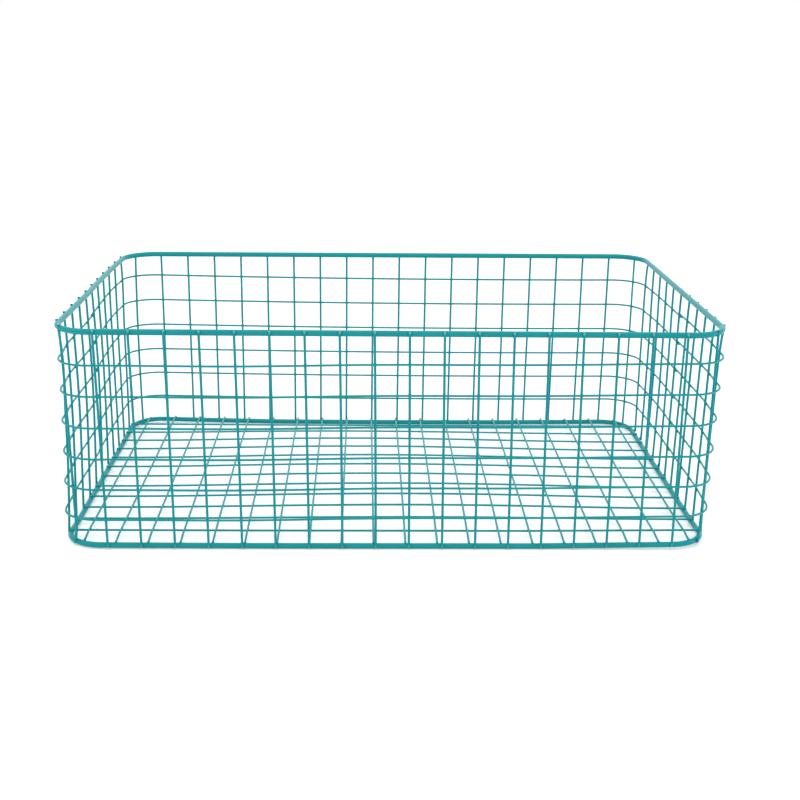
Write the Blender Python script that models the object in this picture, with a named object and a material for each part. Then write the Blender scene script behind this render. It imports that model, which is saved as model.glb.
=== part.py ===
"""Metal drawer basket, welded from round wire, in metres with +Z up.

A heavy wire makes the top rim and the base ring. Thin uprights stand against the outer side of both,
thinner loops go round the outside of the uprights, and a mesh of long and cross wires fills the base.
The origin is on the standing surface, under the middle of the basket. +X runs along the length and
-Y is the front.
"""
import math

import bmesh
import bpy
from mathutils import Matrix, Vector

# Outline that the rim and the ring share, along the centre line of their wire
OUTLINE_LENGTH = 0.600
OUTLINE_DEPTH = 0.376
OUTLINE_RADIUS = 0.034
BASKET_HEIGHT = 0.209

# Wire diameters
FRAME_WIRE = 0.0050
UPRIGHT_WIRE = 0.0020
LOOP_WIRE = 0.0017
BASE_WIRE = 0.0017

# Gap between wires that lie against each other, and how far fused wires sink into each other
CLEARANCE = 0.0003
WELD_DEPTH = 0.0004

# Uprights: numbers on each straight run, and the share of that run they are spread over
FRONT_UPRIGHTS = 18
SIDE_UPRIGHTS = 11
FRONT_SPAN_SHARE = 0.988
SIDE_SPAN_SHARE = 1.004
UPPER_TIP_DROP = 0.0007
LOWER_TIP_RISE = 0.0004

# Loops: each level is a front half and a back half, which lap at the middle upright of each side
LOOP_LEVELS = 6
LOWEST_LOOP_HEIGHT = 0.0325
HIGHEST_LOOP_DROP = 0.0260
LOOP_LAP = 0.0050
# Where the highest loop, which is fused to its uprights, swings out to clear the middle upright, in
# shares of the uprights' pitch
SWING_START_SHARE = 0.75
SWING_END_SHARE = 0.35

# Base mesh: how far the outermost wires stand into the corners, in shares of the corner radius
LONG_WIRES = 12
CROSS_WIRES = 20
LONG_REACH_SHARE = 0.113
CROSS_REACH_SHARE = 0.522
BASE_WIRE_OVERHANG = 0.0008
JOGGLE_INSET = 0.0050
JOGGLE_RUN = 0.0120

# Facets
FRAME_SIDES = 12
WIRE_SIDES = 8
CORNER_STEPS = 8

TEAL = (0.018, 0.290, 0.300)
COAT_ROUGHNESS = 0.42

# Places that follow from the sizes
HALF_LENGTH = OUTLINE_LENGTH / 2
HALF_DEPTH = OUTLINE_DEPTH / 2
CENTRE_X = HALF_LENGTH - OUTLINE_RADIUS
CENTRE_Y = HALF_DEPTH - OUTLINE_RADIUS
RING_HEIGHT = FRAME_WIRE / 2
RIM_HEIGHT = BASKET_HEIGHT - FRAME_WIRE / 2
UPRIGHT_OFFSET = (FRAME_WIRE + UPRIGHT_WIRE) / 2 + CLEARANCE
FUSED_LOOP_OFFSET = UPRIGHT_OFFSET + (UPRIGHT_WIRE + LOOP_WIRE) / 2 - WELD_DEPTH
LOOP_OFFSET = UPRIGHT_OFFSET + (UPRIGHT_WIRE + LOOP_WIRE) / 2 + CLEARANCE
LOOP_PITCH = (RIM_HEIGHT - HIGHEST_LOOP_DROP - LOWEST_LOOP_HEIGHT) / (LOOP_LEVELS - 1)
FRONT_PITCH = 2 * CENTRE_X * FRONT_SPAN_SHARE / (FRONT_UPRIGHTS - 1)
SIDE_PITCH = 2 * CENTRE_Y * SIDE_SPAN_SHARE / (SIDE_UPRIGHTS - 1)
LONG_WIRE_HEIGHT = FRAME_WIRE + CLEARANCE + BASE_WIRE / 2
CROSS_WIRE_HEIGHT = LONG_WIRE_HEIGHT + BASE_WIRE + CLEARANCE


def clear_scene():
    """Remove whatever the file holds."""
    for thing in list(bpy.data.objects):
        bpy.data.objects.remove(thing, do_unlink=True)


def coat(name):
    """The powder coat of one sub-part."""
    material = bpy.data.materials.new(name + "_coat")
    material.use_nodes = True
    shader = material.node_tree.nodes["Principled BSDF"]
    shader.inputs["Base Color"].default_value = (*TEAL, 1)
    shader.inputs["Roughness"].default_value = COAT_ROUGHNESS
    shader.inputs["Metallic"].default_value = 0
    return material


def place(name, data):
    """Link a curve or a mesh to the scene as one named sub-part."""
    data.materials.append(coat(name))
    thing = bpy.data.objects.new(name, data)
    bpy.context.collection.objects.link(thing)
    return thing


def wire_curve(name, points, diameter, sides=WIRE_SIDES, seated=False):
    """A round wire along the points, with flat caps; a seated one has facets facing straight up and down."""
    curve = bpy.data.curves.new(name, "CURVE")
    curve.dimensions = "3D"
    curve.twist_mode = "Z_UP"
    curve.bevel_resolution = (sides - 4) // 2
    curve.bevel_depth = diameter / 2
    curve.use_fill_caps = True
    spline = curve.splines.new("POLY")
    spline.points.add(len(points) - 1)
    half_facet = math.pi / sides
    if seated:
        curve.bevel_depth /= math.cos(half_facet)
    for point, place_of_point in zip(spline.points, points):
        point.co = (*place_of_point, 1)
        point.tilt = half_facet if seated else 0
    return curve


def corner_arc(offset, side_x, side_y):
    """Points round one corner, from the middle of the long side's end to the short side's start."""
    radius = OUTLINE_RADIUS + offset
    arc = []
    for step in range(CORNER_STEPS + 1):
        turn = math.pi / 2 * step / CORNER_STEPS
        x = side_x * (CENTRE_X + radius * math.sin(turn))
        y = side_y * (CENTRE_Y + radius * math.cos(turn))
        arc.append((x, y))
    return arc


def half_outline(side_x, height):
    """The left or right half of the heavy wire's rounded rectangle, from its front end to its back end."""
    end = side_x * CLEARANCE / 2
    flat = [(end, -HALF_DEPTH)] + corner_arc(0, side_x, -1) + corner_arc(0, side_x, 1)[::-1] + [(end, HALF_DEPTH)]
    return [(x, y, height) for x, y in flat]


def long_places(side_y):
    """Where the uprights of the straight front or back stand."""
    places = []
    for number in range(FRONT_UPRIGHTS):
        x = (number - (FRONT_UPRIGHTS - 1) / 2) * FRONT_PITCH
        places.append((x, side_y * (HALF_DEPTH + UPRIGHT_OFFSET)))
    return places


def corner_place(side_x, side_y):
    """Where the upright in the middle of a corner stands."""
    reach = (OUTLINE_RADIUS + UPRIGHT_OFFSET) * math.sin(math.pi / 4)
    return (side_x * (CENTRE_X + reach), side_y * (CENTRE_Y + reach))


def side_places(side_x, side_y):
    """Where half of one side's uprights stand, without the middle one."""
    x = side_x * (HALF_LENGTH + UPRIGHT_OFFSET)
    return [(x, side_y * number * SIDE_PITCH) for number in range(1, SIDE_UPRIGHTS // 2 + 1)]


def uprights_mesh(name, places):
    """Plain uprights from their lower tips to their upper tips, as separate bodies in one mesh."""
    low = LOWER_TIP_RISE
    high = BASKET_HEIGHT - UPPER_TIP_DROP
    shape = bmesh.new()
    for x, y in places:
        bmesh.ops.create_cone(
            shape, cap_ends=True, segments=WIRE_SIDES, radius1=UPRIGHT_WIRE / 2, radius2=UPRIGHT_WIRE / 2,
            depth=high - low, matrix=Matrix.Translation((x, y, (low + high) / 2)))
    mesh = bpy.data.meshes.new(name)
    shape.to_mesh(mesh)
    shape.free()
    return mesh


def half_loop_points(level, side_y, offset):
    """One half of a loop, from its left end to its right end.

    The front half climbs a little from left to right and the back half sinks as much, so that at each
    side the two ends lie one above the other against the middle upright.
    """
    height = LOWEST_LOOP_HEIGHT + level * LOOP_PITCH
    end_x = HALF_LENGTH + LOOP_OFFSET
    climb = -side_y * (LOOP_WIRE + CLEARANCE) / 2
    right = corner_arc(offset, 1, side_y)
    if offset != LOOP_OFFSET:
        right.append((HALF_LENGTH + offset, side_y * SWING_START_SHARE * SIDE_PITCH))
        right.append((end_x, side_y * SWING_END_SHARE * SIDE_PITCH))
    right.append((end_x, -side_y * LOOP_LAP))
    flat = [(-x, y) for x, y in right[::-1]] + right
    return [(x, y, height + climb * x / end_x) for x, y in flat]


def make_frame():
    """The rim and the ring, each in two halves, which are welded end to end on the real basket."""
    for name, height in (("top_rim", RIM_HEIGHT), ("base_ring", RING_HEIGHT)):
        for side, side_x in (("left", -1), ("right", 1)):
            half_name = name + "_" + side
            place(half_name, wire_curve(half_name, half_outline(side_x, height), FRAME_WIRE, FRAME_SIDES, True))


def rail_stretches(side_y):
    """One half of the highest loop in five stretches, from left to right.

    The loop is parted by a clearance on the first facet of each end of its corner arcs, so that every
    wall and every corner has a stretch of its own.
    """
    points = [Vector(point) for point in half_loop_points(LOOP_LEVELS - 1, side_y, FUSED_LOOP_OFFSET)]
    half = len(points) // 2
    cuts = (half - CORNER_STEPS - 1, half - 2, half, half + CORNER_STEPS - 1)
    stretches = [[]]
    for number, point in enumerate(points):
        stretches[-1].append(point)
        if number in cuts:
            facet = points[number + 1] - point
            gap = facet.normalized() * CLEARANCE
            stretches[-1].append(point + (facet - gap) / 2)
            stretches.append([point + (facet + gap) / 2])
    return stretches


def make_comb(name, rail_points, places):
    """Uprights fused to their stretch of the highest loop."""
    guide = place(name + "_guide", uprights_mesh(name + "_guide", places))
    guide.hide_render = True
    guide.display_type = "WIRE"
    rail = bpy.data.objects.new(name + "_rail", wire_curve(name + "_rail", rail_points, LOOP_WIRE))
    bpy.context.collection.objects.link(rail)
    comb = place(name, bpy.data.meshes.new_from_object(rail))
    bpy.data.objects.remove(rail, do_unlink=True)
    weld = comb.modifiers.new("weld", "BOOLEAN")
    weld.operation = "UNION"
    weld.object = guide


def make_walls():
    """Combs of uprights for each wall and corner, the sides' middle uprights, and the lower loops."""
    for half, side_y in (("front", -1), ("back", 1)):
        left_side, left_corner, long_run, right_corner, right_side = rail_stretches(side_y)
        make_comb(half + "_wall_comb", long_run, long_places(side_y))
        make_comb(half + "_left_corner_upright", left_corner, [corner_place(-1, side_y)])
        make_comb(half + "_right_corner_upright", right_corner, [corner_place(1, side_y)])
        make_comb(half + "_left_side_comb", left_side, side_places(-1, side_y))
        make_comb(half + "_right_side_comb", right_side, side_places(1, side_y))
        for level in range(LOOP_LEVELS - 1):
            name = f"{half}_loop_{level + 1}"
            place(name, wire_curve(name, half_loop_points(level, side_y, LOOP_OFFSET), LOOP_WIRE))
    for side, side_x in (("left", -1), ("right", 1)):
        name = side + "_middle_upright"
        place(name, uprights_mesh(name, [(side_x * (HALF_LENGTH + UPRIGHT_OFFSET), 0)]))


def ring_reach(centre_here, centre_across, place_across):
    """How far the ring's centre line lies from the middle, on a line beside it."""
    into_corner = max(abs(place_across) - centre_across, 0)
    return centre_here + math.sqrt(OUTLINE_RADIUS ** 2 - into_corner ** 2)


def make_base():
    """Long wires on top of the ring, and cross wires that lie on them and step down to the ring."""
    long_half_span = CENTRE_Y + LONG_REACH_SHARE * OUTLINE_RADIUS
    for number in range(LONG_WIRES):
        y = (2 * number / (LONG_WIRES - 1) - 1) * long_half_span
        end = ring_reach(CENTRE_X, CENTRE_Y, y) + BASE_WIRE_OVERHANG
        name = f"long_base_wire_{number + 1:02d}"
        points = [(-end, y, LONG_WIRE_HEIGHT), (end, y, LONG_WIRE_HEIGHT)]
        place(name, wire_curve(name, points, BASE_WIRE))
    cross_half_span = CENTRE_X + CROSS_REACH_SHARE * OUTLINE_RADIUS
    for number in range(CROSS_WIRES):
        x = (2 * number / (CROSS_WIRES - 1) - 1) * cross_half_span
        seat = ring_reach(CENTRE_Y, CENTRE_X, x)
        low = seat - JOGGLE_INSET
        back = [(low - JOGGLE_RUN, CROSS_WIRE_HEIGHT), (low, LONG_WIRE_HEIGHT),
                (seat + BASE_WIRE_OVERHANG, LONG_WIRE_HEIGHT)]
        run = [(-y, z) for y, z in back[::-1]] + back
        name = f"cross_base_wire_{number + 1:02d}"
        place(name, wire_curve(name, [(x, y, z) for y, z in run], BASE_WIRE))


clear_scene()
make_frame()
make_walls()
make_base()
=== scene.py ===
"""Visual model of the wire drawer basket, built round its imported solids.

Sizes are in metres. The basket stands on z = 0 with its front towards -Y. Each wire is drawn out of a
ring, bent and cut as on the bench, and laid where its solid lies, but sunk a little into the wires that
it is welded to. Then it is moved by as much as the real basket has sprung there. Fillets fill the
crossings as the powder coat does.
"""
import math

import bpy
from mathutils import Matrix, Vector


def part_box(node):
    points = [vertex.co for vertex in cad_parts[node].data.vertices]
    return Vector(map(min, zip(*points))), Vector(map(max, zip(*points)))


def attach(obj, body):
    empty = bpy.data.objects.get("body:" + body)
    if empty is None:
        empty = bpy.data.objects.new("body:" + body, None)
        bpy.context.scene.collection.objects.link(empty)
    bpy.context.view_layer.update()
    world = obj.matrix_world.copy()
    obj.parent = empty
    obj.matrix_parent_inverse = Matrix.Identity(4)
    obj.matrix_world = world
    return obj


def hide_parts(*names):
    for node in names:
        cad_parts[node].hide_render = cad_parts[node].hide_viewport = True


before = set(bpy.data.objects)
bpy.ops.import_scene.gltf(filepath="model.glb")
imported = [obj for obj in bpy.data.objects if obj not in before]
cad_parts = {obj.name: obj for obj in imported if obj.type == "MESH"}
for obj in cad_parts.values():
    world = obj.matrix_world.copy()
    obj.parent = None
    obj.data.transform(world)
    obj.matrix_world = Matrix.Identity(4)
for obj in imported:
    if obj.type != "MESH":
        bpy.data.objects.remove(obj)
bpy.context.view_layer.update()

# Heavy wire of the rim and the ring, and the outline of its centre line
RIM_LOW, RIM_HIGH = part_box("top_rim_left")
RING_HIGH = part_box("base_ring_left")[1]
FRAME_WIRE = RIM_HIGH.z - RIM_LOW.z
HALF_LENGTH = -RIM_LOW.x - FRAME_WIRE / 2
HALF_DEPTH = RIM_HIGH.y - FRAME_WIRE / 2
RIM_HEIGHT = RIM_HIGH.z - FRAME_WIRE / 2
RING_HEIGHT = RING_HIGH.z - FRAME_WIRE / 2
CORNER_RADIUS = 0.034
CENTRE_X = HALF_LENGTH - CORNER_RADIUS
CENTRE_Y = HALF_DEPTH - CORNER_RADIUS

# The coat's thickness, which the solids leave out
COAT_BUILD = 0.00018
RIM_COAT_BUILD = 0.00029
RING_COAT_BUILD = 0.00014

# Thin wires, and how deep a weld sinks one wire into another
UPRIGHT_LOW, UPRIGHT_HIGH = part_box("left_middle_upright")
UPRIGHT_WIRE = UPRIGHT_HIGH.x - UPRIGHT_LOW.x
LOOP_WIRE = 0.0017
BASE_WIRE = 0.0017
SINK = 0.00025
FRAME_SINK = 0.0005
UPRIGHT_OFFSET = (FRAME_WIRE + UPRIGHT_WIRE) / 2 - FRAME_SINK
LOOP_OFFSET = UPRIGHT_OFFSET + (UPRIGHT_WIRE + LOOP_WIRE) / 2 - SINK

# Uprights, spread over a share of the straight runs, with painted highlights and shade at tips and feet
FRONT_UPRIGHTS = 18
SIDE_UPRIGHTS = 11
FRONT_SPAN_SHARE = 0.988
SIDE_SPAN_SHARE = 1.004
FRONT_PITCH = 2 * CENTRE_X * FRONT_SPAN_SHARE / (FRONT_UPRIGHTS - 1)
SIDE_PITCH = 2 * CENTRE_Y * SIDE_SPAN_SHARE / (SIDE_UPRIGHTS - 1)
FOOT_RISE = 0.0014
FRONT_TIP_RISE = 0.0001
LEFT_TIP_RISE = 0.0010
FRONT_TIP = 0.0018
LEFT_TIP = 0.0009
# Painted highlight on the front and right tips and on the front feet, and painted shade on the left tips
FRONT_TIP_HIGHLIGHT = 1
LEFT_TIP_SHADE = -0.5
RIGHT_TIP_HIGHLIGHT = 0.2
FOOT_HIGHLIGHT = 0.4

# Half loops
LOOP_LEVELS = 6
LOWEST_LOOP = 0.0325
LOOP_PITCH = 0.0296
LOOP_LAP = 0.005
LOOP_CLIMB = (LOOP_WIRE - SINK) / 2
LOOP_BEND = 0.0355
LOOP_CENTRE_X = HALF_LENGTH + LOOP_OFFSET - LOOP_BEND
LOOP_CENTRE_Y = HALF_DEPTH + LOOP_OFFSET - LOOP_BEND
CORNER_BULGE = (math.sqrt(2) - 1) * (CORNER_RADIUS + LOOP_OFFSET - LOOP_BEND)

# Base mesh, whose outermost wires lie a share of the radius past where the corners begin
LONG_WIRES = 12
CROSS_WIRES = 20
LONG_WIRE_HEIGHT = FRAME_WIRE + BASE_WIRE / 2 - SINK
CROSS_WIRE_HEIGHT = LONG_WIRE_HEIGHT + BASE_WIRE - SINK
LONG_CORNER_SHARE = 0.113
CROSS_CORNER_SHARE = 0.522
LONG_SPAN = CENTRE_Y + LONG_CORNER_SHARE * CORNER_RADIUS
CROSS_SPAN = CENTRE_X + CROSS_CORNER_SHARE * CORNER_RADIUS
LONG_OVERHANG = 0.0017
CROSS_OVERHANG = 0.0008
# Painted shade on the cut ends of the base wires, where they meet the ring
LONG_END_SHADE = -0.9
CROSS_END_SHADE = -0.3
JOGGLE_INSET = 0.005
JOGGLE_RUN = 0.012

# Weld fillets: half the length, breadth and thickness of each kind of pad before its flanks are hollowed,
# the painted shade of the heavier kinds, and the share by which the flanks are hollowed
CROSSING_PAD = (0.00155, 0.00155, 0.0008)
RING_PAD = (0.0021, 0.0019, 0.0010)
RIM_PAD = (0.0031, 0.0018, 0.0011)
RING_PAD_SHADE = -0.6
RIM_PAD_SHADE = -0.45
PAD_HOLLOW_SHARE = 0.16

# How the real basket has sprung: its rim is spread to the right and lifted at the back, its ring and
# base sit to the left with the ring's back run bowed inwards, its walls lean, bow and are pinched beside
# the corners, its loops tilt and sag, and the mesh of its base is crowned. Pairs go from left to right or
# from front to back, but those of RIGHT_LEAN and FRONT_TWISTS from foot to top, and rows of six go up loop
# by loop. A twist is given for the left corner (-1) and the right one (1). RIGHT_LEAN_RUN says how far in
# front of the middle the lean begins to give way, and over what length. A power says how steeply a
# movement sets in or fades.
RIM_SPREAD = (-0.0007, 0.0024)
RIM_DROP_LEFT = 0.0003
RIM_BACK_LIFT = (0.0004, 0.0021)
LEFT_RIM_BOW = 0.0017
RING_SHIFT = (-0.0010, -0.0016)
RING_FRONT_LIFTS = (0.0007, 0.0022)
RING_BACK_LIFTS = (0.0021, 0.0005)
RING_CORNER_SPREAD = 0.0010
BACK_BOW = 0.0055
BACK_BOW_POWER = 4
BOW_AS_SAG_SHARE = 0.3
CROSS_SHIFT = (0.0006, -0.0023)
CROSS_CROWDING = 0.0009
FRONT_LEAN = (0.0024, 0.0008)
FRONT_LEAN_POWER = 3
FRONT_LEAN_UP_POWER = 1.3
BACK_LEAN = (-0.0006, 0.0017)
BACK_LEAN_FOOT_SHARE = 0.4
BACK_LEAN_WHOLE_SHARE = 0.5
BACK_OFFSET = 0.0005
LEFT_BOW = (0.0025, -0.0003)
LEFT_BOW_RUN = CENTRE_Y - 2 * CORNER_RADIUS
LEFT_BOW_POWER = 1.2
LEFT_PINCHES = (0.0017, 0.0011)
RIGHT_PINCHES = (0.0016, 0.0008)
PINCH_REACH = 0.024
PINCH_POWER = 0.4
LEFT_TOP_PINCHES = (0.0019, 0.0009)
RIGHT_TOP_PINCHES = (0.0004, 0.0004)
TOP_PINCH_SHARE = 0.84
TOP_PINCH_REACH_SHARE = 0.15
LEFT_TOP_PULL = 0.0010
LEFT_TOP_PULL_POWER = 5
RIGHT_BOW = 0.0014
RIGHT_LEAN = (-0.0019, 0.0017)
RIGHT_LEAN_RUN = (0.040, 0.070)
RIGHT_BACK_OFFSET = 0.0003
RIGHT_TOP_PULL = 0.0005
RIGHT_TOP_PULL_POWER = 12
FRONT_TWISTS = {-1: (math.radians(7.5), math.radians(-7.5)), 1: (math.radians(1), math.radians(-3.3))}
BACK_TWISTS = {-1: math.radians(-2.4), 1: 0}
TWIST_FOOT_SHARE = 0.08
BULGE_POWER = 0.5
LOOP_DRAW = 0.0006
LOOP_TILT = 0.0017
LOOP_WAVES = (0.0014, 0.0004)
LOOP_DROPS = (0.0003, 0.0005, 0.0007, 0.0009, 0.0009, 0.0017)
BACK_TILT = (0.0005, 0.0011)
BACK_DROPS = (0.0002, 0.0007, 0.0008, 0.0002, -0.0002, -0.0002)
BACK_SAG = 0.0016
BASE_CROWN = 0.0041
CROWN_SKEW = 0.58
CROWN_TO_BACK = 0.08
LONG_SPREAD = (-0.0015, 0.0028)

# How finely the wires and the pads are shaped
FRAME_SIDES = 24
THIN_SIDES = 12
BEND_STEPS = 14
RUN_STEP = 0.012
TIP_ROUNDING = 0.00022
TIP_STEPS = 2
SMOOTH_ANGLE = math.radians(50)
MERGE_DISTANCE = SINK / 10
PAD_SEGMENTS = 8
PAD_RINGS = 6

# Powder coat: its two shades and where they lie in its drift, the painted highlight and the painted shade
# that its painted light tones lead to, its gloss and its peel
COAT_SHADES = ((0.003, 0.312, 0.337, 1), (0.005, 0.352, 0.377, 1))
SHADE_PLACES = (0.3, 0.7)
PAINTED_HIGHLIGHT_COAT = (0.09, 0.50, 0.52, 1)
PAINTED_SHADE_COAT = (0.004, 0.075, 0.090, 1)
COAT_IOR = 1.5
COAT_SPECULAR = 0.16
COAT_ROUGHNESS = (0.25, 0.33)
DRIFT_SCALE = 22
DRIFT_DETAIL = 3
PEEL_SCALE = 900
PEEL_DETAIL = 2
PEEL_STRENGTH = 0.25
PEEL_DEPTH = 0.00012

# Floor and studio light: each wide light has its place, strength and spread in degrees, and each softbox
# its place and power
FLOOR_SIZE = 14
FLOOR_SHADE = (0.90, 0.90, 0.90, 1)
FLOOR_ROUGHNESS = 0.9
FLOOR_GLOW = 0.34
WHITE = (1, 1, 1, 1)
DOME_STRENGTH = 0.58
CEILING_LIGHT = ((-0.1, 0.1, 2.2), 1.15, 80)
FRONT_LIGHT = ((0.3, -2, 0.3), 0.4, 60)
BACK_LIGHT = ((0, 2, 0.6), 0.38, 70)
LEFT_SOFTBOX = ((-2.2, -0.8, 1.2), 4)
RIGHT_SOFTBOX = ((2.2, -0.3, 0.4), 6)
SOFTBOX_TARGET = (0, 0, 0.1)
SOFTBOX_SIZE = 0.4

# Camera: its place, its angles in radians, and its lens and sensor in millimetres
CAMERA_PLACE = (-0.02591, -1.23803, 0.46750)
CAMERA_PITCH = 0.2980
CAMERA_ROLL = -0.0142
CAMERA_YAW = -0.0319
CAMERA_LENS = 55.08
CAMERA_SENSOR = 36


def nothing_selected():
    """Clears the selection, so that an operator touches only what is chosen after this."""
    bpy.ops.object.select_all(action="DESELECT")


def open_ring(name, place, heading, diameter, sides):
    """Adds a ring square to the heading, in edit mode, ready to be drawn out into a wire."""
    nothing_selected()
    turn = Vector((0, 0, 1)).rotation_difference(Vector(heading)).to_euler()
    bpy.ops.mesh.primitive_circle_add(vertices=sides, radius=diameter / 2, location=place, rotation=turn)
    wire = bpy.context.object
    wire.name = wire.data.name = name
    bpy.ops.object.transform_apply(location=True, rotation=True, scale=True)
    bpy.ops.object.mode_set(mode="EDIT")
    bpy.ops.mesh.select_mode(type="VERT")
    bpy.ops.mesh.select_all(action="SELECT")
    return wire


def draw_out(way):
    """Draws the open end out straight, in steps short enough to be bent a little later."""
    way = Vector(way)
    count = max(1, round(way.length / RUN_STEP))
    for _ in range(count):
        bpy.ops.mesh.extrude_edges_move(TRANSFORM_OT_translate={"value": way / count})


def bend(centre, angle):
    """Bends the wire round an upright pin. The operator counts the angle the other way."""
    bpy.ops.mesh.spin(steps=BEND_STEPS, angle=-angle, center=centre, axis=(0, 0, 1))


def cut_ends():
    """Caps the cut ends and rounds their edges."""
    bpy.ops.mesh.select_all(action="SELECT")
    bpy.ops.mesh.fill_holes(sides=0)
    bpy.ops.mesh.select_mode(type="FACE")
    bpy.ops.mesh.select_all(action="DESELECT")
    bpy.ops.mesh.select_face_by_sides(number=4, type="GREATER")
    bpy.ops.mesh.region_to_loop()
    bpy.ops.mesh.bevel(offset=TIP_ROUNDING, segments=TIP_STEPS)


def leave_bench():
    """Turns the faces outwards, ends edit mode and smooths the round faces."""
    bpy.ops.mesh.select_all(action="SELECT")
    bpy.ops.mesh.normals_make_consistent(inside=False)
    bpy.ops.object.mode_set(mode="OBJECT")
    bpy.ops.object.shade_smooth_by_angle(angle=SMOOTH_ANGLE)
    return bpy.context.object


def tone(piece, tone_at):
    """Painted light: faces painted paler (up to 1) as a highlight, or darker (down to -1) as shade."""
    painted_light_mark = piece.data.attributes.new("painted_light_tone", "FLOAT", "FACE")
    for face in piece.data.polygons:
        painted_light_mark.data[face.index].value = tone_at(face.center)


def lay_copies(name, pattern, placements):
    """One piece of several copies of a pattern, each laid by its own matrix."""
    nothing_selected()
    for placement in placements:
        copy = pattern.copy()
        copy.data = pattern.data.copy()
        copy.data.transform(placement)
        bpy.context.collection.objects.link(copy)
        copy.select_set(True)
        bpy.context.view_layer.objects.active = copy
    if len(placements) > 1:
        bpy.ops.object.join()
    piece = bpy.context.object
    piece.name = piece.data.name = name
    return piece


def between(low, high, share):
    """A size between two others, held at them beyond either end."""
    return low + (high - low) * min(max(share, 0), 1)


def across_share(along, half):
    """0 at the left or front end of a run and 1 at its right or back end."""
    return (along / half + 1) / 2


def in_corner(place):
    """0 along the front and back, rising to 1 along the sides."""
    return between(0, 1, (abs(place.x) - CENTRE_X) / CORNER_RADIUS)


def rim_shift(place):
    """How far the rim has sprung."""
    share = across_share(place.x, HALF_LENGTH)
    across = between(*RIM_SPREAD, share)
    if place.x < 0:
        across -= left_rim_bow(place) * in_corner(place)
    return Vector((across, 0, between(-RIM_DROP_LEFT, 0, share) + back_lift(place)))


def left_rim_bow(place):
    """How far the left run of the rim is bowed outwards, most in its back half."""
    into = between(0, 1, (place.y + CORNER_RADIUS) / (HALF_DEPTH + CORNER_RADIUS))
    return LEFT_RIM_BOW * math.sin(math.pi * into)


def back_lift(place):
    """How far the back of the rim is lifted."""
    into = across_share(place.y, HALF_DEPTH)
    return between(*RIM_BACK_LIFT, across_share(place.x, HALF_LENGTH)) * between(0, 1, into)


def back_bow(place):
    """How far the foot of the back wall and the ring under it are bowed inwards, most in the middle."""
    hump = 1 - (place.x / HALF_LENGTH) ** 2
    up = between(0, 1, place.z / RIM_HEIGHT)
    into = between(0, 1, (place.y - CENTRE_Y) / CORNER_RADIUS)
    return BACK_BOW * hump * (1 - up) ** BACK_BOW_POWER * into


def ring_shift(place):
    """How far the ring has sprung: to the left, its corners lifted, one spread, its back bowed inwards."""
    side = 0 if place.x < 0 else 1
    near_end = between(0, 1, (abs(place.x) - CENTRE_X / 2) / (CENTRE_X / 2 + CORNER_RADIUS))
    near_front = between(1, 0, (place.y + HALF_DEPTH) / (2 * CORNER_RADIUS))
    near_back = between(1, 0, (HALF_DEPTH - place.y) / (2 * CORNER_RADIUS)) ** 2
    lift = near_end * (RING_FRONT_LIFTS[side] * near_front + RING_BACK_LIFTS[side] * near_back)
    across = between(*RING_SHIFT, across_share(place.x, HALF_LENGTH))
    if place.x < -CENTRE_X:
        across -= RING_CORNER_SPREAD * near_front * in_corner(place)
    return Vector((across, -back_bow(place), lift))


def crown(place):
    """How far the middle of the base is raised, most on one diagonal."""
    along = between(-1, 1, across_share(place.x, CROSS_SPAN))
    into = between(-1, 1, across_share(place.y, LONG_SPAN))
    skew = (1 - CROWN_SKEW * along * into) * (1 + CROWN_TO_BACK * into)
    return BASE_CROWN * (1 - along ** 2) ** 2 * (1 - into ** 4) * skew


def long_shift(place):
    """How far the long wires of the base have sprung."""
    shift = ring_shift(place)
    shift.y = between(*LONG_SPREAD, across_share(place.y, LONG_SPAN))
    shift.z += crown(place)
    return shift


def cross_shift(place):
    """How far the cross wires of the base have sprung."""
    share = between(0, 1, across_share(place.x, CROSS_SPAN))
    across = between(*CROSS_SHIFT, share) + CROSS_CROWDING * share * math.sin(math.pi * share)
    return Vector((across, 0, ring_shift(place).z + crown(place)))


def beside_corner(place, side_y):
    """1 on the sides where a corner begins, falling to 0 a little away from it."""
    return math.exp(-((place.y - side_y * CENTRE_Y) / PINCH_REACH) ** 2)


def pinched(place, up, pinches, top_pinches):
    """How far a side wall is pinched inwards beside its front and back corners, and more near its top."""
    whole = math.sin(math.pi * up) ** PINCH_POWER
    top = math.exp(-((up - TOP_PINCH_SHARE) / TOP_PINCH_REACH_SHARE) ** 2)
    near = [beside_corner(place, side_y) for side_y in (-1, 1)]
    return sum(share * (most * whole + more * top) for share, most, more in zip(near, pinches, top_pinches))


def left_shift(place, up):
    """How far the left wall has sprung: bowed inwards at its front, pinched, and with its rim and ring."""
    bow = between(*LEFT_BOW, place.y / LEFT_BOW_RUN) * math.sin(math.pi * up ** LEFT_BOW_POWER)
    with_rim = between(ring_shift(place).x, RIM_SPREAD[0], up) - left_rim_bow(place) * up ** 2
    pinch = pinched(place, up, LEFT_PINCHES, LEFT_TOP_PINCHES)
    return with_rim + bow + pinch + LEFT_TOP_PULL * up ** LEFT_TOP_PULL_POWER


def right_shift(place, up):
    """How far the right wall has sprung: it leans at its front, bows at its back and is pinched."""
    end, run = RIGHT_LEAN_RUN
    lean = between(between(*RIGHT_LEAN, up), RIGHT_BACK_OFFSET, (place.y + end) / run)
    bow = RIGHT_BOW * math.sin(math.pi * between(0, 1, place.y / CENTRE_Y)) * math.sin(math.pi * up)
    pinch = pinched(place, up, RIGHT_PINCHES, RIGHT_TOP_PINCHES)
    return lean + bow - pinch + RIGHT_TOP_PULL * up ** RIGHT_TOP_PULL_POWER


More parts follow.
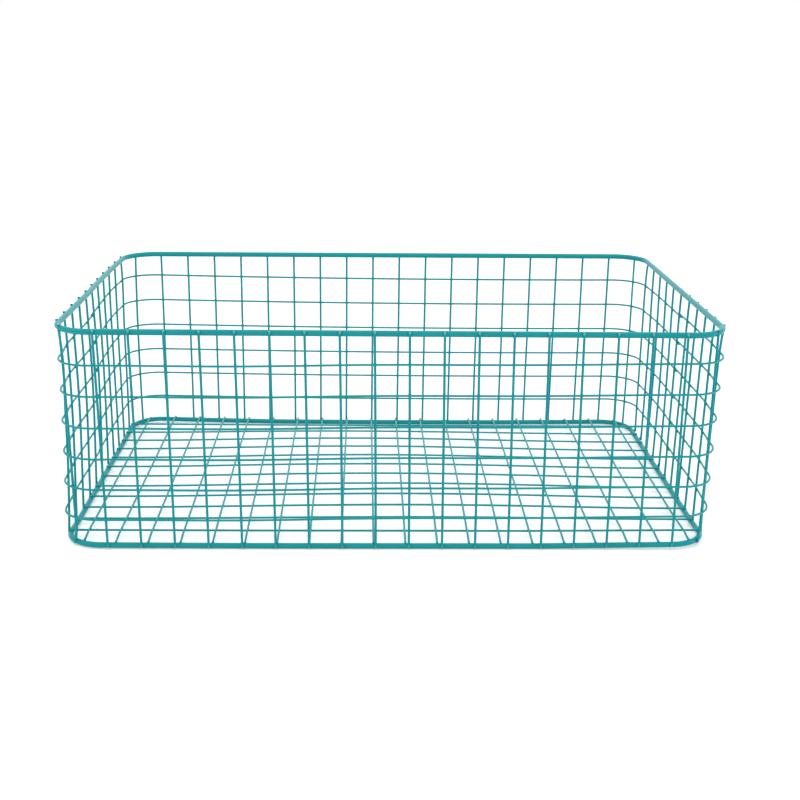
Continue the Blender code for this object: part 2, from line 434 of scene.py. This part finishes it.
def wall_shift(place):
    """How far the thin wires of the walls have sprung sideways, and inwards at the foot of the back."""
    up = between(0, 1, place.z / RIM_HEIGHT)
    share = across_share(place.x, CENTRE_X)
    if place.y < 0:
        lean = between(*FRONT_LEAN, between(0, 1, share) ** FRONT_LEAN_POWER)
        on_long = between(lean, 0, up ** FRONT_LEAN_UP_POWER)
    else:
        grown = between(BACK_LEAN_FOOT_SHARE, 1, up / BACK_LEAN_WHOLE_SHARE)
        on_long = BACK_OFFSET + between(*BACK_LEAN, share) * grown
    on_side = left_shift(place, up) if place.x < 0 else right_shift(place, up)
    return Vector((between(on_long, on_side, in_corner(place)), -back_bow(place), 0))


def upright_shift(place):
    """How far an upright has sprung, with its tip lifted with the rim and its foot with the ring."""
    lift = between(ring_shift(place).z, back_lift(place), place.z / RIM_HEIGHT)
    return wall_shift(place) + Vector((0, 0, lift))


def loop_shift(place, level):
    """How far a loop has sprung: with its wall, tilted and waved at the front and sagging at the back."""
    share = between(0, 1, across_share(place.x, CENTRE_X))
    hump = 4 * share * (1 - share)
    wave = between(*LOOP_WAVES, share) * math.sin(2 * math.pi * share) ** 2
    front = between(-LOOP_TILT, LOOP_TILT, share) - LOOP_DROPS[level] - wave
    sag = BACK_SAG * hump - BOW_AS_SAG_SHARE * back_bow(place)
    back = -between(*BACK_TILT, share) - BACK_DROPS[level] - sag
    inwards = -math.copysign(LOOP_DRAW, place.x) * beside_corner(place, -1) * in_corner(place)
    return wall_shift(place) + Vector((inwards, 0, between(front, back, place.y / CENTRE_Y)))


def spring(piece, shift, *rest):
    """Moves every point of a piece by how far the basket has sprung there."""
    for vertex in piece.data.vertices:
        vertex.co += shift(vertex.co, *rest)
    piece.data.update()


def finish_piece(piece, material, *nodes):
    """Gives a piece its coat and its place in the frame."""
    piece.data.materials.clear()
    piece.data.materials.append(material)
    if nodes:
        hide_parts(*nodes)
    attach(piece, "root")


# Material


def powder_coat():
    """Satin teal powder coat with a fine orange peel, slightly uneven colour, and painted highlights and
    shade.
    """
    material = bpy.data.materials.new("teal_powder_coat")
    material.use_nodes = True
    nodes, links = material.node_tree.nodes, material.node_tree.links
    shader = nodes["Principled BSDF"]
    shader.inputs["Metallic"].default_value = 0
    shader.inputs["IOR"].default_value = COAT_IOR
    shader.inputs["Specular IOR Level"].default_value = COAT_SPECULAR
    place = nodes.new("ShaderNodeTexCoord")
    drift = nodes.new("ShaderNodeTexNoise")
    drift.inputs["Scale"].default_value = DRIFT_SCALE
    drift.inputs["Detail"].default_value = DRIFT_DETAIL
    links.new(place.outputs["Object"], drift.inputs["Vector"])
    shade = nodes.new("ShaderNodeValToRGB")
    for stop, position, colour in zip(shade.color_ramp.elements, SHADE_PLACES, COAT_SHADES):
        stop.position = position
        stop.color = colour
    links.new(drift.outputs["Fac"], shade.inputs["Fac"])
    # Painted light: marked faces are blended towards the painted highlight or the painted shade colour
    painted_light_mark = nodes.new("ShaderNodeAttribute")
    painted_light_mark.attribute_name = "painted_light_tone"
    colour = shade.outputs["Color"]
    for sign, other in ((1, PAINTED_HIGHLIGHT_COAT), (-1, PAINTED_SHADE_COAT)):
        share = nodes.new("ShaderNodeMath")
        share.operation = "MULTIPLY"
        share.use_clamp = True
        share.inputs[1].default_value = sign
        links.new(painted_light_mark.outputs["Fac"], share.inputs[0])
        blend = nodes.new("ShaderNodeMix")
        blend.data_type = "RGBA"
        blend.inputs["B"].default_value = other
        links.new(share.outputs["Value"], blend.inputs["Factor"])
        links.new(colour, blend.inputs["A"])
        colour = blend.outputs["Result"]
    links.new(colour, shader.inputs["Base Color"])
    gloss = nodes.new("ShaderNodeMapRange")
    gloss.inputs["To Min"].default_value, gloss.inputs["To Max"].default_value = COAT_ROUGHNESS
    links.new(drift.outputs["Fac"], gloss.inputs["Value"])
    links.new(gloss.outputs["Result"], shader.inputs["Roughness"])
    peel = nodes.new("ShaderNodeTexNoise")
    peel.inputs["Scale"].default_value = PEEL_SCALE
    peel.inputs["Detail"].default_value = PEEL_DETAIL
    links.new(place.outputs["Object"], peel.inputs["Vector"])
    bump = nodes.new("ShaderNodeBump")
    bump.inputs["Strength"].default_value = PEEL_STRENGTH
    bump.inputs["Distance"].default_value = PEEL_DEPTH
    links.new(peel.outputs["Fac"], bump.inputs["Height"])
    links.new(bump.outputs["Normal"], shader.inputs["Normal"])
    return material


COAT = powder_coat()

# Rim and ring


def heavy_ring(name, height, coat_build):
    """The closed outline of heavy wire, drawn and bent all the way round and joined to its start."""
    open_ring(name, (0, HALF_DEPTH, height), (-1, 0, 0), FRAME_WIRE + 2 * coat_build, FRAME_SIDES)
    draw_out((-CENTRE_X, 0, 0))
    bend((-CENTRE_X, CENTRE_Y, height), math.pi / 2)
    draw_out((0, -2 * CENTRE_Y, 0))
    bend((-CENTRE_X, -CENTRE_Y, height), math.pi / 2)
    draw_out((2 * CENTRE_X, 0, 0))
    bend((CENTRE_X, -CENTRE_Y, height), math.pi / 2)
    draw_out((0, 2 * CENTRE_Y, 0))
    bend((CENTRE_X, CENTRE_Y, height), math.pi / 2)
    draw_out((-CENTRE_X, 0, 0))
    bpy.ops.mesh.select_all(action="SELECT")
    bpy.ops.mesh.remove_doubles(threshold=MERGE_DISTANCE)
    return leave_bench()


rim = heavy_ring("coated_top_rim", RIM_HEIGHT - RIM_COAT_BUILD, RIM_COAT_BUILD)
spring(rim, rim_shift)
finish_piece(rim, COAT, "top_rim_left", "top_rim_right")
ring = heavy_ring("coated_base_ring", RING_HEIGHT + RING_COAT_BUILD, RING_COAT_BUILD)
spring(ring, ring_shift)
finish_piece(ring, COAT, "base_ring_left", "base_ring_right")

# Half loops


def loop_height(level, side_y, x):
    """Height of a half loop, which climbs from left to right at the front and sinks at the back."""
    climb = -side_y * LOOP_CLIMB * x / (HALF_LENGTH + LOOP_OFFSET)
    return LOWEST_LOOP + level * LOOP_PITCH + climb


def half_loop():
    """The pattern of the half loops, laid out as at the front and at height 0."""
    end_x, end_y = HALF_LENGTH + LOOP_OFFSET, LOOP_LAP
    open_ring("half_loop_pattern", (-end_x, end_y, 0), (0, -1, 0), LOOP_WIRE + 2 * COAT_BUILD, THIN_SIDES)
    draw_out((0, -LOOP_CENTRE_Y - end_y, 0))
    bend((-LOOP_CENTRE_X, -LOOP_CENTRE_Y, 0), math.pi / 2)
    draw_out((2 * LOOP_CENTRE_X, 0, 0))
    bend((LOOP_CENTRE_X, -LOOP_CENTRE_Y, 0), math.pi / 2)
    draw_out((0, LOOP_CENTRE_Y + end_y, 0))
    cut_ends()
    return leave_bench()


def lay_loops():
    """Six levels of half loops, the back ones turned round."""
    pattern = half_loop()
    for half, side_y in (("front", -1), ("back", 1)):
        turn = Matrix.Rotation(math.pi if side_y > 0 else 0, 4, "Z")
        for level in range(LOOP_LEVELS):
            loop = lay_copies(f"coated_{half}_loop_{level + 1}", pattern, [turn])
            for vertex in loop.data.vertices:
                vertex.co.z += loop_height(level, side_y, vertex.co.x)
            spring(loop, loop_shift, level)
            if level < LOOP_LEVELS - 1:
                finish_piece(loop, COAT, f"{half}_loop_{level + 1}")
            else:
                stretches = [half + tail for tail in (
                    "_wall_comb", "_left_corner_upright", "_right_corner_upright", "_left_side_comb",
                    "_right_side_comb")]
                finish_piece(loop, COAT, *stretches)
    bpy.data.objects.remove(pattern)


lay_loops()

# Uprights


def upright(name, tip_rise, tip, painted_tip_light, painted_foot_light):
    """A pattern of the uprights, standing at the origin, with a painted highlight or shade on its tip and
    foot.
    """
    low, high = FOOT_RISE, UPRIGHT_HIGH.z + tip_rise
    foot = FRAME_WIRE - low
    open_ring(name, (0, 0, low), (0, 0, 1), UPRIGHT_WIRE + 2 * COAT_BUILD, THIN_SIDES)
    for way in (foot, high - low - foot - tip, tip):
        draw_out((0, 0, way))
    cut_ends()
    piece = leave_bench()

    # Painted highlight or painted shade on the tip, and a painted highlight on the foot where it passes the
    # ring
    def painted_end_light(place):
        if place.z > high - tip:
            return painted_tip_light
        return painted_foot_light if place.z < FRAME_WIRE else 0

    tone(piece, painted_end_light)
    return piece


def wall_places(side_y):
    """Feet of the uprights of the straight front or back, with the way they face."""
    y = side_y * (HALF_DEPTH + UPRIGHT_OFFSET)
    middle = (FRONT_UPRIGHTS - 1) / 2
    return [(Vector(((number - middle) * FRONT_PITCH, y, 0)), Vector((0, side_y, 0)))
            for number in range(FRONT_UPRIGHTS)]


def corner_place(side_x, side_y):
    """Foot of a corner's upright, with the way it faces."""
    facing = Vector((side_x, side_y, 0)).normalized()
    centre = Vector((side_x * CENTRE_X, side_y * CENTRE_Y, 0))
    return [(centre + facing * (CORNER_RADIUS + UPRIGHT_OFFSET), facing)]


def side_places(side_x, side_y):
    """Feet of the uprights in a side's front or back half, with the way they face."""
    x = side_x * (HALF_LENGTH + UPRIGHT_OFFSET)
    return [(Vector((x, side_y * number * SIDE_PITCH, 0)), Vector((side_x, 0, 0)))
            for number in range(1, SIDE_UPRIGHTS // 2 + 1)]


def middle_place(side_x):
    """Foot of a side's middle upright, with the way it faces."""
    return [(Vector((side_x * (HALF_LENGTH + UPRIGHT_OFFSET), 0, 0)), Vector((side_x, 0, 0)))]


def corner_shift(place):
    """How far a corner's upright bows out to its loops and is twisted round its corner."""
    up = between(0, 1, place.z / RIM_HEIGHT)
    side_x, side_y = math.copysign(1, place.x), math.copysign(1, place.y)
    flat = Vector((place.x - side_x * CENTRE_X, place.y - side_y * CENTRE_Y, 0))
    bulge = flat.normalized() * CORNER_BULGE * math.sin(math.pi * up) ** BULGE_POWER
    if side_y > 0:
        twist = BACK_TWISTS[side_x]
    else:
        twist = between(*FRONT_TWISTS[side_x], up) * between(0, 1, up / TWIST_FOOT_SHARE)
    return bulge + Matrix.Rotation(twist, 3, "Z") @ flat - flat


def lay_uprights():
    """All uprights, wall by wall as their solids are grouped. Returns where they stand."""
    front = upright("front_upright_pattern", FRONT_TIP_RISE, FRONT_TIP, FRONT_TIP_HIGHLIGHT, FOOT_HIGHLIGHT)
    left = upright("left_upright_pattern", LEFT_TIP_RISE, LEFT_TIP, LEFT_TIP_SHADE, 0)
    right = upright("right_upright_pattern", FRONT_TIP_RISE, FRONT_TIP, RIGHT_TIP_HIGHLIGHT, 0)
    back = upright("back_upright_pattern", 0, FRONT_TIP, 0, 0)
    hands = (("left", -1, left), ("right", 1, right))
    groups = []
    for half, side_y, wall, corner in (("front", -1, front, left), ("back", 1, back, back)):
        groups.append((half + "_wall_uprights", half + "_wall_comb", wall_places(side_y), wall))
        for hand, side_x, side in hands:
            name = f"{half}_{hand}"
            upright_name = name + "_corner_upright"
            groups.append((upright_name, upright_name, corner_place(side_x, side_y), corner))
            groups.append((name + "_side_uprights", name + "_side_comb", side_places(side_x, side_y), side))
    for hand, side_x, side in hands:
        name = hand + "_middle_upright"
        groups.append((name, name, middle_place(side_x), side))
    standing = []
    for name, node, places, pattern in groups:
        matrices = [Matrix.Translation(foot) for foot, _ in places]
        piece = lay_copies("coated_" + name, pattern, matrices)
        if "corner" in name:
            spring(piece, corner_shift)
        spring(piece, upright_shift)
        finish_piece(piece, COAT, node)
        standing += places
    for pattern in (front, left, right, back):
        bpy.data.objects.remove(pattern)
    return standing


STANDING = lay_uprights()

# Base mesh


def ring_reach(centre_here, centre_across, across):
    """How far a base wire has to run from the middle to the ring's centre line."""
    into_corner = max(abs(across) - centre_across, 0)
    return centre_here + math.sqrt(CORNER_RADIUS ** 2 - into_corner ** 2)


def long_rows():
    """Place of each long wire, and how far from the middle it meets the ring's centre line."""
    rows = []
    for number in range(LONG_WIRES):
        y = (2 * number / (LONG_WIRES - 1) - 1) * LONG_SPAN
        rows.append((y, ring_reach(CENTRE_X, CENTRE_Y, y)))
    return rows


def cross_rows():
    """Place of each cross wire, and how far from the middle it meets the ring's centre line."""
    rows = []
    for number in range(CROSS_WIRES):
        x = (2 * number / (CROSS_WIRES - 1) - 1) * CROSS_SPAN
        rows.append((x, ring_reach(CENTRE_Y, CENTRE_X, x)))
    return rows


def lay_base():
    """Long wires on the ring, and cross wires that lie on them and step down to the ring."""
    thickness = BASE_WIRE + 2 * COAT_BUILD
    for number, (y, reach) in enumerate(long_rows()):
        end = reach + LONG_OVERHANG
        name = f"long_base_wire_{number + 1:02d}"
        open_ring("coated_" + name, (-end, y, LONG_WIRE_HEIGHT), (1, 0, 0), thickness, THIN_SIDES)
        draw_out((2 * end, 0, 0))
        cut_ends()
        wire = leave_bench()
        # Painted shade on the cut ends
        tone(wire, lambda place: LONG_END_SHADE if abs(place.x) > end - SINK else 0)
        spring(wire, long_shift)
        finish_piece(wire, COAT, name)
    drop = CROSS_WIRE_HEIGHT - LONG_WIRE_HEIGHT
    for number, (x, reach) in enumerate(cross_rows()):
        foot = JOGGLE_INSET + CROSS_OVERHANG
        run = 2 * (reach - JOGGLE_INSET - JOGGLE_RUN)
        start = (x, -reach - CROSS_OVERHANG, LONG_WIRE_HEIGHT)
        name = f"cross_base_wire_{number + 1:02d}"
        open_ring("coated_" + name, start, (0, 1, 0), thickness, THIN_SIDES)
        for way in ((0, foot, 0), (0, JOGGLE_RUN, drop), (0, run, 0), (0, JOGGLE_RUN, -drop), (0, foot, 0)):
            draw_out(way)
        cut_ends()
        wire = leave_bench()
        # Painted shade on the cut ends
        tone(wire, lambda place: CROSS_END_SHADE if abs(place.y) > reach + CROSS_OVERHANG - SINK else 0)
        spring(wire, cross_shift)
        finish_piece(wire, COAT, name)


lay_base()

# Weld fillets


def fillet(name, half_sizes, painted_pad_shade):
    """A flat pad with hollow flanks, which fills the corners where two wires cross."""
    along, across, thickness = half_sizes
    nothing_selected()
    bpy.ops.mesh.primitive_uv_sphere_add(segments=PAD_SEGMENTS, ring_count=PAD_RINGS, radius=1)
    pad = bpy.context.object
    pad.name = name
    for vertex in pad.data.vertices:
        turn = math.atan2(vertex.co.y, vertex.co.x)
        pinch = 1 - PAD_HOLLOW_SHARE * math.cos(4 * turn + math.pi)
        vertex.co = (vertex.co.x * along / pinch, vertex.co.y * across / pinch, vertex.co.z * thickness)
    bpy.ops.object.shade_smooth()
    # Painted shade: the heavier pads are darkened where shade falls round the welds
    tone(pad, lambda place: painted_pad_shade)
    return pad


def facing_matrix(place, facing):
    """Lays a pad with its flat side square to the way it faces and its second axis upright."""
    side = Vector((0, 0, 1)).cross(facing)
    turn = Matrix((side, Vector((0, 0, 1)), facing)).transposed()
    return Matrix.Translation(place) @ turn.to_4x4()


def lay_fillets():
    """Fillets at every crossing of the walls, the rim, the ring and the base."""
    pad = fillet("thin_pad", CROSSING_PAD, 0)
    heavy_pad = fillet("heavy_pad", RING_PAD, RING_PAD_SHADE)
    rim_pad = fillet("rim_pad", RIM_PAD, RIM_PAD_SHADE)
    walls, frame_pads, rim_pads = [], [], []
    in_wall = (UPRIGHT_WIRE - SINK) / 2
    for foot, facing in STANDING:
        side_ys = (-1, 1) if foot.y == 0 else (math.copysign(1, foot.y),)
        for side_y in side_ys:
            for level in range(LOOP_LEVELS):
                place = foot + facing * in_wall
                place.z = loop_height(level, side_y, place.x)
                if abs(facing.x * facing.y) > 0:
                    place += corner_shift(place)
                walls.append(facing_matrix(place + loop_shift(place, level), facing))
        for height, pads in ((RIM_HEIGHT, rim_pads), (RING_HEIGHT, frame_pads)):
            place = foot - facing * in_wall
            place.z = height
            if abs(facing.x * facing.y) > 0:
                place += corner_shift(place)
            pads.append(facing_matrix(place + upright_shift(place), facing))
    mesh_pads = []
    for y, reach in long_rows():
        for side_x in (-1, 1):
            place = Vector((side_x * reach, y, FRAME_WIRE))
            frame_pads.append(Matrix.Translation(place + long_shift(place)))
        for x, cross_reach in cross_rows():
            if abs(y) < cross_reach - JOGGLE_INSET - JOGGLE_RUN / 2:
                place = Vector((x, y, (LONG_WIRE_HEIGHT + CROSS_WIRE_HEIGHT) / 2))
                shift = cross_shift(place)
                shift.y = long_shift(place).y
                mesh_pads.append(Matrix.Translation(place + shift))
    for x, reach in cross_rows():
        for side_y, pads in ((-1, mesh_pads), (1, frame_pads)):
            place = Vector((x, side_y * reach, FRAME_WIRE))
            shift = cross_shift(place)
            shift.y = ring_shift(place).y
            pads.append(Matrix.Translation(place + shift))
    finish_piece(lay_copies("wall_weld_fillets", pad, walls), COAT)
    finish_piece(lay_copies("base_weld_fillets", pad, mesh_pads), COAT)
    finish_piece(lay_copies("frame_weld_fillets", heavy_pad, frame_pads), COAT)
    finish_piece(lay_copies("rim_weld_fillets", rim_pad, rim_pads), COAT)
    for pattern in (pad, heavy_pad, rim_pad):
        bpy.data.objects.remove(pattern)


lay_fillets()

# Floor, light and camera


def looked_at(nodes, links):
    """1 where the camera, a reflection or clear glass looks, and 0 for the light on the basket."""
    path = nodes.new("ShaderNodeLightPath")
    value = path.outputs["Is Camera Ray"]
    for other in ("Is Glossy Ray", "Is Transmission Ray"):
        either = nodes.new("ShaderNodeMath")
        either.operation = "MAXIMUM"
        links.new(value, either.inputs[0])
        links.new(path.outputs[other], either.inputs[1])
        value = either.outputs["Value"]
    return value


def plain_floor():
    """A wide plain floor, nearly white, that keeps the basket's soft shadow."""
    nothing_selected()
    bpy.ops.mesh.primitive_plane_add(size=FLOOR_SIZE)
    floor = bpy.context.object
    floor.name = "floor"
    material = bpy.data.materials.new("pale_floor")
    material.use_nodes = True
    nodes, links = material.node_tree.nodes, material.node_tree.links
    paint = nodes["Principled BSDF"]
    paint.inputs["Base Color"].default_value = FLOOR_SHADE
    paint.inputs["Roughness"].default_value = FLOOR_ROUGHNESS
    paint.inputs["Specular IOR Level"].default_value = 0
    glow = nodes.new("ShaderNodeEmission")
    strength = nodes.new("ShaderNodeMath")
    strength.operation = "MULTIPLY"
    strength.inputs[1].default_value = FLOOR_GLOW
    links.new(looked_at(nodes, links), strength.inputs[0])
    links.new(strength.outputs["Value"], glow.inputs["Strength"])
    both = nodes.new("ShaderNodeAddShader")
    links.new(paint.outputs["BSDF"], both.inputs[0])
    links.new(glow.outputs["Emission"], both.inputs[1])
    links.new(both.outputs["Shader"], nodes["Material Output"].inputs["Surface"])
    floor.data.materials.append(material)


def studio_world():
    """White all round for the camera and for reflections, and a soft dome for the light itself."""
    world = bpy.data.worlds.new("studio")
    bpy.context.scene.world = world
    world.use_nodes = True
    nodes, links = world.node_tree.nodes, world.node_tree.links
    dome = nodes["Background"]
    dome.inputs["Color"].default_value = WHITE
    dome.inputs["Strength"].default_value = DOME_STRENGTH
    white = nodes.new("ShaderNodeBackground")
    white.inputs["Color"].default_value = WHITE
    white.inputs["Strength"].default_value = 1
    mix = nodes.new("ShaderNodeMixShader")
    links.new(looked_at(nodes, links), mix.inputs["Fac"])
    links.new(dome.outputs["Background"], mix.inputs[1])
    links.new(white.outputs["Background"], mix.inputs[2])
    links.new(mix.outputs["Shader"], nodes["World Output"].inputs["Surface"])


def wide_light(name, origin, strength, spread):
    """Light that comes evenly from a wide patch of the studio, so that shadows stay soft."""
    turn = (-Vector(origin)).to_track_quat("-Z", "Y").to_euler()
    bpy.ops.object.light_add(type="SUN", location=origin, rotation=turn)
    lamp = bpy.context.object
    lamp.name = name
    lamp.data.energy = strength
    lamp.data.angle = math.radians(spread)


def softbox(name, place, power):
    """A square lamp that faces the basket and leaves a bright streak on wires."""
    turn = (Vector(SOFTBOX_TARGET) - Vector(place)).to_track_quat("-Z", "Y").to_euler()
    bpy.ops.object.light_add(type="AREA", location=place, rotation=turn)
    lamp = bpy.context.object
    lamp.name = name
    lamp.data.shape = "SQUARE"
    lamp.data.size = SOFTBOX_SIZE
    lamp.data.energy = power


def photo_camera():
    """The camera at the photograph's place and angle."""
    turn = (Matrix.Rotation(CAMERA_YAW, 3, "Z") @ Matrix.Rotation(math.pi / 2 - CAMERA_PITCH, 3, "X")
            @ Matrix.Rotation(-CAMERA_ROLL, 3, "Z"))
    bpy.ops.object.camera_add(location=CAMERA_PLACE, rotation=turn.to_euler())
    camera = bpy.context.object
    camera.data.sensor_width = CAMERA_SENSOR
    camera.data.lens = CAMERA_LENS
    bpy.context.scene.camera = camera


plain_floor()
studio_world()
wide_light("ceiling_light", *CEILING_LIGHT)
wide_light("front_light", *FRONT_LIGHT)
wide_light("back_light", *BACK_LIGHT)
softbox("left_softbox", *LEFT_SOFTBOX)
softbox("right_softbox", *RIGHT_SOFTBOX)
photo_camera()
bpy.context.scene.view_settings.view_transform = "Standard"
